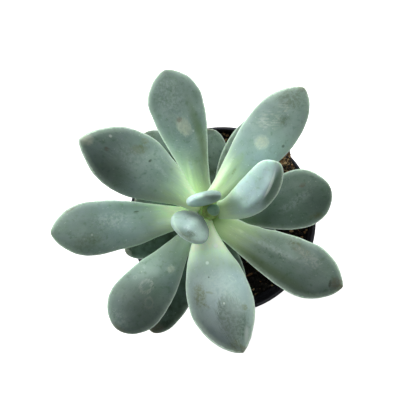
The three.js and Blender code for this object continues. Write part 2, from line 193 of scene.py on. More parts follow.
# Marks on the upper faces: kind, along and across in millimetres from the leaf's base
# and midline, half length, half width and the turn in degrees
MARKS = {
    0: [("flesh", 4.5, 0, 6.0, 4.0, 0), ("shade", 8.6, 0, 1.6, 3.0, 0)],
    1: [("shade", 20.5, -5.5, 4.0, 3.0, 0)],
    2: [
        ("smudge", 28.2, 2.2, 1.1, 2.4, 30), ("frost", 26.6, -0.9, 1.4, 1.4, 0),
        # the wide frost across the middle is a painted highlight where the leaf turns up to the light
        ("shade", 8.0, 0, 8.0, 9.0, 0), ("frost", 20.5, 0.5, 2.8, 7.0, -12),
        ("shade", 29.6, 0, 1.6, 6.0, 0),
    ],
    3: [
        # painted shade on the facet between ridge and margin, and a painted highlight along the ridge
        ("fold", 36.0, -6.2, 10.5, 2.7, 8), ("white", 38.0, -3.2, 6.5, 0.6, 8),
        ("shade", 15.0, -0.5, 7.5, 5.0, 0), ("dull", 22, 1, 2.5, 1.5, 20),
    ],
    4: [
        ("pale", 67.6, -1.6, 2.6, 2.8, 0), ("white", 58.2, -7.1, 0.7, 0.6, 0),
        ("olive", 44.1, -7.0, 4.2, 2.2, 30), ("olive", 42.6, -12.2, 1.8, 1.2, 20),
        ("frost", 46, -2, 7.0, 4.6, 15), ("dark", 36.6, -5.2, 0.9, 0.55, 60),
        ("frost", 30.1, -4.2, 5.0, 0.9, -12), ("brown", 57.7, -0.9, 1.2, 0.9, 0),
        ("shade", 51, 8, 13.0, 6.0, -8),
    ],
    5: [
        ("blue", 46.0, -4.0, 13.0, 9.0, 0), ("print", 53.5, 2.2, 11.5, 6.6, -6),
        ("olive", 37.2, -8.7, 5.6, 2.9, -8), ("olive", 37.6, -3.8, 1.9, 0.6, 60),
        ("olive", 43.0, -7.0, 1.6, 0.6, 35), ("frost", 49.0, 7.0, 4.5, 3.8, 30),
        ("olive", 50.0, 9.6, 1.6, 1.2, 0), ("frost", 36.0, 1.5, 8.0, 5.5, 20),
        ("ring", 34.0, 8.4, 2.4, 1.2, 30), ("dark", 30.1, -2.2, 0.45, 0.35, 0),
        ("white", 14.3, 4.1, 0.9, 0.8, 0), ("white", 22.7, -1.4, 0.9, 0.8, 0),
        # the gloss mark here is a painted highlight
        ("white", 44.9, 1.2, 0.6, 0.5, 0), ("gloss", 62.6, 5.2, 3.2, 0.8, -28),
        ("olive", 65.8, -1.5, 3.0, 3.0, 0),
    ],
    6: [
        ("pale", 40.4, 0.0, 3.2, 3.0, 0), ("ring", 40.4, 0.0, 3.7, 3.5, 0),
        ("brush", 51.3, 3.4, 5.0, 4.4, -50), ("brush", 48.0, 5.5, 2.4, 2.0, -50),
        ("brush", 60.8, 1.6, 3.4, 3.0, -50), ("rub", 66.0, 2.0, 5.5, 6.0, 0),
        ("rub", 55.5, -2.0, 3.0, 2.4, 0), ("dark", 45.1, -9.1, 0.8, 0.6, 0),
        ("olive", 19.7, 1.0, 2.0, 0.6, 12), ("flesh", 22.0, 2.4, 8.0, 2.0, 6),
        ("cream", 14.0, 4.2, 9.0, 1.0, 9),
    ],
    7: [
        ("brown", 64.3, -10.1, 4.2, 0.5, 25), ("dark", 33.2, -5.5, 1.3, 0.4, 0),
        ("frost", 46.1, -2.5, 8.0, 3.6, 0), ("white", 56.2, 3.1, 0.5, 0.5, 0),
        ("rub", 58, 6, 6.5, 3.0, 10), ("flesh", 18, -2.0, 7.0, 1.6, 0),
    ],
    8: [
        ("scuff", 44.5, 8.2, 7.5, 2.3, -12), ("crackle", 53.2, 5.2, 4.6, 3.0, -20),
        ("crackle", 46.0, 7.4, 3.0, 1.6, -14), ("brown", 67.6, 0.0, 2.8, 3.0, 0),
        ("dark", 65.2, -1.0, 0.6, 1.8, 10), ("frost", 33.0, 2.2, 13.0, 1.4, 2),
        # the green mark here is painted shade along the leaf's lower side
        ("green", 31.0, -7.6, 22.0, 2.6, -4), ("cream", 14.2, 2.3, 1.6, 0.6, 0),
        ("flesh", 16.0, 4.6, 7.0, 1.4, 0),
    ],
    9: [
        ("pale", 41.2, -0.4, 4.6, 2.8, 16), ("ring", 41.2, -0.4, 5.2, 3.2, 16),
        ("brown", 45.0, 0.8, 1.3, 1.5, 0), ("ripple", 35.0, 0.6, 9.5, 7.5, 0),
        ("frost", 56.0, 2.0, 10.0, 7.0, 0), ("white", 37.7, -4.2, 0.6, 0.5, 0),
        # the green mark here is painted shade along the leaf's right side
        ("green", 27.0, -7.4, 21.0, 2.2, 3), ("cream", 14.0, 3.4, 10.0, 0.8, -4),
        ("frost", 22.8, 1.6, 4.6, 0.9, 0),
    ],
    10: [
        ("pale", 31.1, 3.1, 1.7, 1.7, 0), ("frost", 31.1, 3.1, 2.6, 2.4, 0),
        ("arc", 45.6, -1.6, 3.6, 3.2, 0), ("ring", 45.1, -8.8, 1.0, 1.0, 0),
        ("frost", 38.6, -7.9, 1.8, 1.1, 30), ("arc", 51.0, 4.4, 3.0, 2.2, 40),
        ("frost", 66.0, -3.0, 3.6, 7.5, 0), ("shade", 54.0, 1.0, 11.0, 7.5, 0),
    ],
    11: [
        ("brown", 44.4, 6.0, 1.8, 1.0, 10), ("shade", 49.0, -3.0, 6.0, 8.0, 0),
        ("frost", 38.0, -1.0, 9.0, 2.2, 20), ("olive", 46.0, -10.6, 3.0, 1.6, 0),
    ],
    15: [("pale", 43.5, 1.0, 1.8, 3.5, 0)],
    18: [("brown", 63, 0, 4.0, 5.0, 0)],
}


# Numbers

def smooth(value, start, end):
    t = np.clip((value - start) / (end - start), 0.0, 1.0)
    return t * t * (3.0 - 2.0 * t)


def ripple(points, size, seed):
    """A smooth field, mostly from -1 to 1, with hills about size apart: a sum of seeded waves."""
    draw = np.random.default_rng(seed)
    total = np.zeros(len(points))
    waves = 9
    for _ in range(waves):
        way = draw.normal(size=3)
        way *= 2 * np.pi / (size * draw.uniform(0.7, 1.6)) / np.linalg.norm(way)
        total += np.sin(points @ way + draw.uniform(0, 2 * np.pi))
    return total / math.sqrt(waves)


# Meshes

def make_piece(name, points, faces, material, node=None, flat=False):
    """A mesh from millimetre points that rides the one body and may stand for a node."""
    mesh = bpy.data.meshes.new(name)
    mesh.from_pydata((np.asarray(points) * MM).tolist(), [], faces)
    mesh.polygons.foreach_set("use_smooth", [not flat] * len(mesh.polygons))
    mesh.materials.append(material)
    mesh.update()
    piece = bpy.data.objects.new(name, mesh)
    bpy.context.scene.collection.objects.link(piece)
    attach(piece, "root")
    if node:
        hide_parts(node)
    return piece


def write_vectors(piece, name, values):
    attribute = piece.data.attributes.new(name, "FLOAT_VECTOR", "POINT")
    attribute.data.foreach_set("vector", np.asarray(values, np.float32).ravel())


def write_numbers(piece, name, values):
    attribute = piece.data.attributes.new(name, "FLOAT", "POINT")
    attribute.data.foreach_set("value", np.asarray(values, np.float32))


def turns(count):
    return np.arange(count) * 2 * np.pi / count


def ring(radius, turn, z):
    return np.stack([radius * np.cos(turn), radius * np.sin(turn), z + np.zeros(len(turn))], -1)


def tube_faces(rows, sides, first=True, last=True):
    """Faces of a skin over rings of points, with a fan to one more point at each closed end."""
    faces = []
    for row in range(rows - 1):
        for side in range(sides):
            a = row * sides + side
            b = row * sides + (side + 1) % sides
            faces.append((a, b, b + sides, a + sides))
    if first:
        faces += [(rows * sides, (side + 1) % sides, side) for side in range(sides)]
    if last:
        top = (rows - 1) * sides
        faces += [(rows * sides + 1, top + side, top + (side + 1) % sides) for side in range(sides)]
    return faces


# Shader nodes

def add(tree, kind, inputs=None, **settings):
    """A node with its settings, and its inputs by name as numbers or as other nodes' outputs."""
    node = tree.nodes.new(kind)
    for name, value in settings.items():
        setattr(node, name, value)
    for name, value in (inputs or {}).items():
        socket = node.inputs[name]
        if isinstance(value, bpy.types.NodeSocket):
            tree.links.new(value, socket)
        else:
            socket.default_value = value
    return node


def maths(tree, operation, first, second=0.0, clamp=False):
    node = add(tree, "ShaderNodeMath", {0: first, 1: second}, operation=operation)
    node.use_clamp = clamp
    return node.outputs[0]


def step(tree, value, start, end, low=0.0, high=1.0):
    """Eases from low to high as value goes from start to end."""
    inputs = {"Value": value, "From Min": start, "From Max": end, "To Min": low, "To Max": high}
    return add(tree, "ShaderNodeMapRange", inputs, interpolation_type="SMOOTHSTEP").outputs[0]


def blend(tree, factor, first, second):
    return add(tree, "ShaderNodeMix", {0: factor, 6: first, 7: second}, data_type="RGBA").outputs[2]


def noise(tree, place, scale, detail=3.0, roughness=0.5):
    inputs = {"Vector": place, "Scale": scale, "Detail": detail, "Roughness": roughness}
    return add(tree, "ShaderNodeTexNoise", inputs).outputs["Fac"]


def times(tree, first, second, clamp=False):
    return maths(tree, "MULTIPLY", first, second, clamp)


def vectors(tree, operation, first, second):
    inputs = {0: first, 1: second}
    return add(tree, "ShaderNodeVectorMath", inputs, operation=operation).outputs


def turned_by(tree, vector, angle):
    inputs = {"Vector": vector, "Angle": angle}
    return add(tree, "ShaderNodeVectorRotate", inputs, rotation_type="Z_AXIS").outputs[0]


def bump(tree, height, strength, distance, below=None):
    inputs = {"Strength": strength, "Distance": distance, "Height": height}
    if below:
        inputs["Normal"] = below
    return add(tree, "ShaderNodeBump", inputs).outputs[0]


def read(tree, name, output="Vector"):
    return add(tree, "ShaderNodeAttribute", attribute_name=name).outputs[output]


def parts(tree, vector):
    return add(tree, "ShaderNodeSeparateXYZ", {0: vector}).outputs


def connect(tree, shader, base, rough, normal):
    tree.links.new(base, shader.inputs["Base Color"])
    tree.links.new(rough, shader.inputs["Roughness"])
    tree.links.new(normal, shader.inputs["Normal"])


def colour(red, green, blue):
    return (red, green, blue, 1.0)


def new_material(name):
    material = bpy.data.materials.new(name)
    material.use_nodes = True
    tree = material.node_tree
    shader = tree.nodes["Principled BSDF"]
    here = add(tree, "ShaderNodeTexCoord").outputs["Object"]
    return material, tree, shader, here


# Leaf skin

FLESH = colour(0.15, 0.27, 0.185)
DARK_FLESH = colour(0.065, 0.125, 0.068)
BASE_FLESH = colour(0.50, 0.66, 0.36)
BLOOM = colour(0.425, 0.58, 0.53)
BLUE_BLOOM = colour(0.295, 0.42, 0.42)
# pale margin colour, partly the margin's own paleness and partly painted glow of light through it
MARGIN_PALE_AND_GLOW = colour(0.66, 0.86, 0.70)
SPECK = colour(0.72, 0.85, 0.78)
DRIED_TIP = colour(0.16, 0.15, 0.08)

# Contour rings by a scar: how far beyond it their middle lies, how far they wander and
# how far apart they are
RIPPLE_SHIFT = 6.0
RIPPLE_WANDER = 5.0
RIPPLE_PITCH = 1.3

# The pale margin, partly its own paleness and partly a painted glow of light through it: how far its
# wide and its narrow part reach in, and how much that varies
WIDE_MARGIN = 3.4
NARROW_MARGIN = 0.9
MARGIN_WANDER = 0.25

# For each kind of mark: its colour, how strongly it covers, how ragged and how soft its
# edge is and how far fine specks break it up. Of the outlined kinds only the edge shows.
MARK_KINDS = {
    "pale": (colour(0.54, 0.63, 0.50), 0.85, 1.1, 0.3, 0.4),
    "white": (colour(0.75, 0.88, 0.82), 0.6, 0.3, 0.8, 0.0),
    "frost": (colour(0.46, 0.60, 0.56), 0.6, 1.0, 1.2, 0.9),
    "cream": (colour(0.66, 0.82, 0.56), 0.45, 0.9, 1.4, 0.3),
    # gloss: a painted highlight, a pale streak where light glints off the wax
    "gloss": (colour(0.75, 0.85, 0.82), 0.6, 0.3, 1.8, 0.2),
    "rub": (colour(0.13, 0.19, 0.11), 0.6, 1.2, 1.1, 0.6),
    "dull": (colour(0.30, 0.40, 0.36), 0.4, 0.6, 1.0, 0.3),
    "olive": (colour(0.19, 0.25, 0.12), 0.8, 1.5, 0.3, 0.65),
    "print": (colour(0.09, 0.155, 0.10), 0.75, 1.0, 0.3, 0.45),
    # green: painted shade in olive green along the side of a leaf turned away from the light
    "green": (colour(0.15, 0.24, 0.08), 0.6, 0.5, 1.4, 0.0),
    "shade": (colour(0.05, 0.10, 0.07), 0.5, 0.5, 1.6, 0.0),
    "flesh": (colour(0.33, 0.50, 0.24), 0.4, 0.9, 1.4, 0.4),
    "scuff": (colour(0.17, 0.225, 0.12), 0.9, 1.5, 0.5, 0.7),
    "brush": (colour(0.60, 0.72, 0.64), 0.75, 1.2, 0.9, 0.5),
    "ripple": (colour(0.50, 0.64, 0.55), 0.22, 1.0, 1.6, 0.7),
    "dark": (colour(0.04, 0.07, 0.04), 0.75, 0.5, 0.7, 0.2),
    "brown": (colour(0.17, 0.13, 0.07), 0.65, 1.0, 0.7, 0.6),
    "smudge": (colour(0.10, 0.13, 0.09), 0.7, 1.6, 0.9, 0.6),
    # fold: painted shade on a facet turned away from the light
    "fold": (colour(0.055, 0.135, 0.075), 0.9, 0.3, 0.8, 0.0),
    "crackle": (colour(0.44, 0.55, 0.49), 0.65, 1.6, 0.8, 0.95),
    "blue": (colour(0.36, 0.50, 0.53), 0.5, 0.6, 1.6, 0.0),
    "ring": (colour(0.50, 0.63, 0.54), 0.5, 0.6, 0.3, 0.4),
    "arc": (colour(0.52, 0.62, 0.55), 0.75, 0.9, 0.5, 0.4),
}
OUTLINED = ("ring", "arc")


def mark_group():
    """Mask of one mark: 1 inside a ragged ellipse on the upper face, or along its outline."""
    group = bpy.data.node_groups.new("mark", "ShaderNodeTree")
    for name in ("Place", "Centre", "Reach"):
        group.interface.new_socket(name, in_out="INPUT", socket_type="NodeSocketVector")
    for name in ("Turn", "Ragged", "Soft", "Wander"):
        group.interface.new_socket(name, in_out="INPUT", socket_type="NodeSocketFloat")
    for name in ("Inside", "Outline"):
        group.interface.new_socket(name, in_out="OUTPUT", socket_type="NodeSocketFloat")
    given = group.nodes.new("NodeGroupInput").outputs
    result = group.nodes.new("NodeGroupOutput")
    flat = vectors(group, "MULTIPLY", given["Place"], (1, 1, 0))[0]
    offset = vectors(group, "SUBTRACT", flat, given["Centre"])[0]
    turned = turned_by(group, offset, given["Turn"])
    shares = vectors(group, "DIVIDE", turned, given["Reach"])[0]
    length = add(group, "ShaderNodeVectorMath", {0: shares}, operation="LENGTH").outputs["Value"]
    wander = maths(group, "SUBTRACT", noise(group, given["Place"], given["Wander"], 4.0, 0.6), 0.5)
    wander = times(group, wander, given["Ragged"])
    far = maths(group, "ADD", length, times(group, wander, 2.0))
    outer = maths(group, "ADD", given["Soft"], 1.0)
    inner = maths(group, "SUBTRACT", 1.0, given["Soft"])
    over = step(group, far, outer, inner)
    upper = step(group, parts(group, given["Place"])[2], 0.02, 0.12)
    line = maths(group, "ABSOLUTE", maths(group, "SUBTRACT", far, 0.85))
    outline = times(group, step(group, line, 0.28, 0.05), upper)
    group.links.new(times(group, over, upper), result.inputs["Inside"])
    group.links.new(outline, result.inputs["Outline"])
    return group


def mark_mask(tree, group, place, specks, mark):
    """How strongly one mark covers the skin."""
    kind, along, across, half_length, half_width, turn = mark
    _, strength, ragged, soft, broken = MARK_KINDS[kind]
    node = add(tree, "ShaderNodeGroup", node_tree=group)
    tree.links.new(place, node.inputs["Place"])
    node.inputs["Centre"].default_value = (along * MM, across * MM, 0.0)
    node.inputs["Reach"].default_value = (half_length * MM, half_width * MM, 1.0)
    node.inputs["Turn"].default_value = math.radians(-turn)
    node.inputs["Ragged"].default_value = ragged
    node.inputs["Soft"].default_value = 0.5 * soft
    node.inputs["Wander"].default_value = 1.4 / (max(half_width, 0.8) * MM)
    mask = times(tree, node.outputs["Outline" if kind in OUTLINED else "Inside"], strength)
    if broken:
        mask = times(tree, mask, step(tree, specks, 0.42, 0.58, 1.0 - broken, 1.0))
    if kind == "brush":
        mask = times(tree, mask, brush_lines(tree, place, turn))
    if kind == "ripple":
        mask = times(tree, mask, ripple_lines(tree, place, along, across))
    return mask


def brush_lines(tree, place, turn):
    """Fine parallel strokes, broken along their length."""
    turned = turned_by(tree, place, math.radians(-turn))
    strokes = vectors(tree, "MULTIPLY", turned, (0.22, 1.0, 0.0))[0]
    return step(tree, noise(tree, strokes, 1100.0, 3.0, 0.6), 0.46, 0.56)


def ripple_lines(tree, place, along, across):
    """Faint contour rings round a scar, as dried drops leave."""
    flat = vectors(tree, "MULTIPLY", place, (1, 1, 0))[0]
    middle = ((along + RIPPLE_SHIFT) * MM, across * MM, 0.0)
    apart = vectors(tree, "DISTANCE", flat, middle)["Value"]
    uneven = times(tree, noise(tree, flat, 200.0, 3.0, 0.6), RIPPLE_WANDER * MM)
    phase = times(tree, maths(tree, "ADD", apart, uneven), 2 * math.pi / (RIPPLE_PITCH * MM))
    return step(tree, maths(tree, "SINE", phase), 0.35, 0.95)


def flesh_and_wax(tree, skin, old, here, share, aside, clouds, streaks, worn):
    """Green flesh, yellow-green at its foot, under pale wax that is worn in places."""
    flesh = blend(tree, step(tree, clouds, 0.35, 0.65), DARK_FLESH if old else FLESH, FLESH)
    foot = maths(tree, "ADD", share, step(tree, streaks, 0.3, 0.7, -0.035, 0.035))
    foot = maths(tree, "SUBTRACT", foot, step(tree, aside, 0.4, 1.0, 0.0, 0.07))
    foot = step(tree, foot, 0.5, 0.06, 0.0, skin["green"])
    flesh = blend(tree, foot, flesh, BASE_FLESH)
    wax = blend(tree, step(tree, noise(tree, here, 45.0, 2.0), 0.35, 0.65), BLUE_BLOOM, BLOOM)
    cover = maths(tree, "ADD", step(tree, clouds, 0.25, 0.75, -0.2, 0.2), skin["bloom"])
    cover = maths(tree, "SUBTRACT", cover, worn)
    thin = maths(tree, "SUBTRACT", 1.0, times(tree, foot, 0.75))
    cover = times(tree, cover, thin, True)
    return flesh, blend(tree, cover, flesh, wax)


def tone_with_painted_light(tree, skin, share, across, end):
    """How light the skin is along the leaf, partly its own tone and partly painted light and shade, and
    across it, where painted light makes one side lighter.
    """
    tone = step(tree, share, 0.08, 0.42, skin["base"], skin["middle"])
    outer = step(tree, end, 0.45, 0.82, 1.0, skin["outer"] / skin["middle"])
    tone = times(tree, tone, outer)
    # painted light: one side of the leaf lighter than the other, near its base and further out
    tilt = step(tree, share, 0.2, 0.6, *skin["left"])
    lean = times(tree, tilt, step(tree, across, -0.9, 0.9, -1.0, 1.0))
    return times(tree, tone, maths(tree, "ADD", 1.0, lean))


def pale_margin_and_painted_glow(tree, skin, skin_colour, aside, half, specks, facing):
    """A pale line along the margin, partly its own paleness and partly painted glow, with a wider
    painted glow inside it, on the upper face.
    """
    margin = times(tree, maths(tree, "SUBTRACT", 1.0, aside), half)
    uneven = step(tree, specks, 0.3, 0.7, -MARGIN_WANDER * MM, MARGIN_WANDER * MM)
    margin = maths(tree, "ADD", margin, uneven)
    wide = step(tree, margin, WIDE_MARGIN * MM, 0.4 * MM, 0.0, 0.25 * skin["rim"])
    narrow = step(tree, margin, NARROW_MARGIN * MM, 0.3 * MM, 0.0, 0.75 * skin["rim"])
    upper = step(tree, facing, -0.2, 0.15)
    skin_colour = blend(tree, times(tree, wide, upper), skin_colour, MARGIN_PALE_AND_GLOW)
    return blend(tree, times(tree, narrow, upper), skin_colour, MARGIN_PALE_AND_GLOW)


def set_wax(shader):
    """A soft sheen over a fleshy inside."""
    shader.inputs["IOR"].default_value = 1.42
    shader.inputs["Specular IOR Level"].default_value = 0.45
    shader.inputs["Sheen Weight"].default_value = 0.5
    shader.inputs["Sheen Roughness"].default_value = 0.4
    shader.inputs["Sheen Tint"].default_value = colour(0.82, 0.97, 0.9)
    shader.inputs["Subsurface Weight"].default_value = 0.35
    shader.inputs["Subsurface Radius"].default_value = (0.6, 1.0, 0.4)
    shader.inputs["Subsurface Scale"].default_value = 2.0 * MM


def leaf_skin(name, number, group):
    """Waxy leaf skin with its marks, some of them painted shade and highlights, its tone with painted
    light and shade, its pale margin with a painted glow and its brown tip.
    """
    old = number >= ROSETTE_LEAVES
    skin = {**SKIN_DEFAULTS, **(OLD_SKIN if old else SKINS[number])}
    material, tree, shader, here = new_material(name)
    place = read(tree, "blade")
    share, across, half = parts(tree, read(tree, "share"))
    aside = maths(tree, "ABSOLUTE", across)
    # wide clouds, streaks along the leaf, specks and fine dust
    clouds = noise(tree, here, 85.0, 3.0, 0.55)
    stretched = vectors(tree, "MULTIPLY", place, (0.12, 1.0, 0.0))[0]
    streaks = noise(tree, stretched, 900.0, 3.0, 0.6)
    specks = noise(tree, here, 700.0, 4.0, 0.7)
    dust = noise(tree, here, 1500.0, 4.0, 0.7)
    worn = step(tree, noise(tree, here, 420.0, 5.0, 0.65), 0.52, 0.68, 0.0, 0.36)
    flesh, skin_colour = flesh_and_wax(tree, skin, old, here, share, aside, clouds, streaks, worn)
    speck = step(tree, noise(tree, here, 1000.0, 2.0, 0.5), 0.68, 0.74, 0.0, 0.42)
    skin_colour = blend(tree, speck, skin_colour, SPECK)
    skin_colour = blend(tree, step(tree, streaks, 0.52, 0.8, 0.0, 0.13), skin_colour, BLOOM)
    pits = step(tree, noise(tree, here, 850.0, 3.0, 0.6), 0.36, 0.28, 0.0, 0.3)
    skin_colour = blend(tree, pits, skin_colour, flesh)
    for mark in MARKS.get(number, []):
        mask = mark_mask(tree, group, place, specks, mark)
        skin_colour = blend(tree, mask, skin_colour, MARK_KINDS[mark[0]][0])
    drift = times(tree, maths(tree, "SUBTRACT", clouds, 0.5), 0.03)
    end = maths(tree, "ADD", share, drift)
    tone = {0: skin_colour, "Scale": tone_with_painted_light(tree, skin, share, across, end)}
    skin_colour = add(tree, "ShaderNodeVectorMath", tone, operation="SCALE").outputs[0]
    facing = parts(tree, place)[2]
    skin_colour = pale_margin_and_painted_glow(tree, skin, skin_colour, aside, half, specks, facing)
    tip = maths(tree, "ADD", end, step(tree, specks, 0.3, 0.7, -0.01, 0.01))
    browned = step(tree, tip, 0.965, 1.0, 0.0, 0.7 * skin["tip"])
    skin_colour = blend(tree, browned, skin_colour, DRIED_TIP)
    gloss = step(tree, worn, 0.0, 0.28, 0.52, 0.4)
    low = bump(tree, streaks, 0.3, 0.25 * MM)
    connect(tree, shader, skin_colour, gloss, bump(tree, dust, 0.25, 0.12 * MM, low))
    set_wax(shader)
    return material


# Leaves

def half_width(leaf, s):
    rise = np.sin(np.pi / 2 * np.clip(s / leaf["widest"], 0, 1)) ** leaf["swell"]
    wide = leaf["neck"] + (1 - leaf["neck"]) * rise
    u = np.clip((s - leaf["widest"]) / (1 - leaf["widest"]), 0, 1)
    return leaf["width"] / 2 * np.where(s < leaf["widest"], wide, (1 - u * u) ** leaf["point"])


def thickness(leaf, s):
    full = LEAF_THICKNESS * leaf["stout"] * leaf["width"]
    near = NECK_THICKNESS + (1 - NECK_THICKNESS) * np.sin(np.pi * np.clip(s, 0, 0.5))
    far = np.sqrt(1 - np.clip(2 * s - 1, 0, 1) ** 2.6)
    return full * np.where(s < 0.5, near, far)


def leaf_frame(leaf, s):
    """Level, forward, sideways and up directions at shares s of the length."""
    slope = np.radians(leaf["rise"] + leaf["curl"] * s)
    head = np.radians(leaf["heading"] + leaf["sweep"] * (s - 0.5))
    none = np.zeros_like(head)
    level = np.stack([np.cos(head), np.sin(head), none], -1)
    forward = level * np.cos(slope)[:, None] + np.stack([none, none, np.sin(slope)], -1)
    side = np.stack([-np.sin(head), np.cos(head), none], -1)
    return level, forward, side, np.cross(forward, side)


def stem_radius(z):
    neck = FIRST_INSERTION - STEM_TAPER
    low = np.interp(z, [STEM_FOOT[2], neck], [STEM_FOOT_RADIUS, STEM_NECK_RADIUS])
    return low + (STEM_TIP_RADIUS - STEM_NECK_RADIUS) * smooth(z, neck, STEM_TIP[2])


def stem_centre(z):
    share = (np.atleast_1d(z) - STEM_FOOT[2]) / (STEM_TIP[2] - STEM_FOOT[2])
    return STEM_FOOT + share[:, None] * (STEM_TIP - STEM_FOOT)


def leaf_base(leaf, number):
    z = FIRST_INSERTION - INSERTION_PITCH * number
    start = np.zeros(1)
    level, _, side, _ = leaf_frame(leaf, start)
    lean = 0.5 * thickness(leaf, start) * abs(math.sin(math.radians(leaf["rise"])))
    out = stem_radius(z) + SEAT_GAP + lean
    return (stem_centre(z) + level * out + side * leaf["aside"])[0]


def midline(leaf, base, s):
    steps = 240
    centres = (np.arange(steps) + 0.5) / steps
    _, forward, _, _ = leaf_frame(leaf, centres)
    walk = np.vstack([np.zeros(3), np.cumsum(forward * leaf["length"] / steps, 0)]) + base
    grid = np.linspace(0, 1, steps + 1)
    return np.stack([np.interp(s, grid, walk[:, axis]) for axis in range(3)], -1)


def crease_height(number, s, across, width):
    """Height of the soft folds on the upper face, in millimetres."""
    total = np.zeros_like(across)
    for leaf, place, height, spread, start, end in CREASES:
        if leaf == number:
            lasting = smooth(s, start - 0.03, start + 0.08) * (1 - smooth(s, end - 0.2, end))
            total += height * lasting * np.exp(-((across - place) * width / spread) ** 2)
    return total


def skin_height(leaf, number, s, across, half, sine):
    """How far the skin stands above the midline: a lens with folds and a channel on its face."""
    thick = thickness(leaf, s)[:, None]
    upper = UPPER_SHARE * np.abs(sine) ** (UPPER_POWER * leaf["edge"])
    lower = (1 - UPPER_SHARE) * np.abs(sine) ** (LOWER_POWER * leaf["edge"])
    lens = thick * np.where(sine > 0, upper, -lower)
    fold = crease_height(number, s[:, None] * np.ones_like(across), across, half)
    channel = 0.1 * thick * (1 - smooth(s, 0.1, 0.55))[:, None] * np.exp(-(across / 0.45) ** 2)
    return lens + np.clip(sine, 0, 1) * (fold - channel)


def make_leaf(number, material):
    """One leaf, with its place along and across the blade written to its points."""
    leaf = {**LEAF_DEFAULTS, **LEAVES[number]}
    name = f"leaf_{number + 1:02d}"
    k = np.arange(LEAF_ROWS) / LEAF_ROWS
    s = 0.35 * k + 0.65 * np.sin(np.pi / 2 * k)
    turn = turns(LEAF_SIDES)
    _, forward, side, up = leaf_frame(leaf, s)
    centre = midline(leaf, leaf_base(leaf, number), s)
    centre -= forward * (ROOTED * (1 - smooth(s, 0.0, 0.1)))[:, None]
    half = half_width(leaf, s)[:, None]
    sine = np.sin(turn)[None, :]
    across = np.cos(turn)[None, :] * np.ones_like(half)
    rise = skin_height(leaf, number, s, across, half, sine)
    sideways = side[:, None, :]
    upward = up[:, None, :]
    points = centre[:, None, :] + sideways * (half * across)[..., None] + upward * rise[..., None]
    points = points.reshape(-1, 3)
    outward = sideways * across[..., None] + upward * (np.ones_like(across) * sine)[..., None]
    outward = outward.reshape(-1, 3)
    wave = 0.16 * ripple(points, 14.0, SEED + number)
    wave = wave + 0.05 * ripple(points, 5.0, SEED + 50 + number)
    calm = np.repeat(smooth(s, 0.0, 0.25), LEAF_SIDES) * leaf["width"] / 28.0
    points = points + outward * (wave * calm)[:, None]
    ends = np.vstack([centre[0], midline(leaf, leaf_base(leaf, number), np.ones(1))[0]])
    points = np.vstack([points, ends])
    faces = tube_faces(LEAF_ROWS, LEAF_SIDES)
    piece = make_piece(f"{name}_fleshy", points, faces, material, name)
    along = np.repeat(s, LEAF_SIDES)
    blade = np.stack([along * leaf["length"] * MM, (half * across).ravel() * MM,
                      (sine * np.ones_like(across)).ravel()], -1)
    shares = np.stack([along, across.ravel(), np.repeat(half[:, 0], LEAF_SIDES) * MM], -1)
    write_vectors(piece, "blade", np.vstack([blade, [0, 0, 0], [leaf["length"] * MM, 0, 0]]))
    write_vectors(piece, "share", np.vstack([shares, [0, 0, 0], [1, 0, 0]]))
    return piece


# Pot

def inside_radius(z):
    foot = POT_HEIGHT - BAND_HEIGHT
    below = np.clip((foot + BAND_STEP - z) / (2 * BAND_STEP), 0, 1)
    return RIM_RADIUS - POT_WALL - BAND_STEP * below - (POT_HEIGHT - z) * WALL_TAPER


def outside_radius(z):
    return inside_radius(z) + POT_WALL


def rounded(profile, radius, steps=5):
    """The open profile with each inner corner rounded by a short curve."""
    result = [profile[0]]
    for before, corner, after in zip(profile, profile[1:], profile[2:]):
        a, b, c = (np.array(p, float) for p in (before, corner, after))
        reach = min(radius, 0.45 * np.linalg.norm(a - b), 0.45 * np.linalg.norm(c - b))
        start = b + (a - b) / np.linalg.norm(a - b) * reach
        end = b + (c - b) / np.linalg.norm(c - b) * reach
        for i in range(steps + 1):
            t = i / steps
            result.append(tuple((1 - t) ** 2 * start + 2 * t * (1 - t) * b + t * t * end))
    return result + [profile[-1]]


def make_pot(material):
    band_foot = POT_HEIGHT - BAND_HEIGHT
    floor_top = CHANNEL_HEIGHT + FLOOR_THICKNESS
    foot_outer = outside_radius(0)
    foot_inner = foot_outer - FOOT_WIDTH
    profile = [
        (0.01, 0), (PAD_RADIUS, 0), (PAD_RADIUS + CHANNEL_SLOPE, CHANNEL_HEIGHT),
        (foot_inner - CHANNEL_SLOPE, CHANNEL_HEIGHT), (foot_inner, 0), (foot_outer, 0),
        (outside_radius(26), 26), (outside_radius(52), 52),
        (outside_radius(band_foot - BAND_STEP), band_foot - BAND_STEP),
        (outside_radius(band_foot + BAND_STEP), band_foot - 0.2),
        (RIM_RADIUS, POT_HEIGHT), (RIM_RADIUS - POT_WALL, POT_HEIGHT),
        (inside_radius(band_foot + BAND_STEP), band_foot + BAND_STEP),
        (inside_radius(band_foot - BAND_STEP), band_foot - BAND_STEP),
        (inside_radius(40), 40), (inside_radius(floor_top), floor_top), (PAD_RADIUS, floor_top),
        (PAD_RADIUS - CHANNEL_SLOPE, FLOOR_THICKNESS), (0.01, FLOOR_THICKNESS),
    ]
    profile = rounded(profile, 0.5)
    rings = [ring(radius, turns(POT_SIDES), z) for radius, z in profile]
    points = np.vstack(rings + [[[0, 0, 0], [0, 0, FLOOR_THICKNESS]]])
    faces = tube_faces(len(profile), POT_SIDES)
    piece = make_piece("pot_shell", points, faces, material, "pot")
    drill_holes(piece, (PAD_RADIUS + foot_inner) / 2)
    return piece


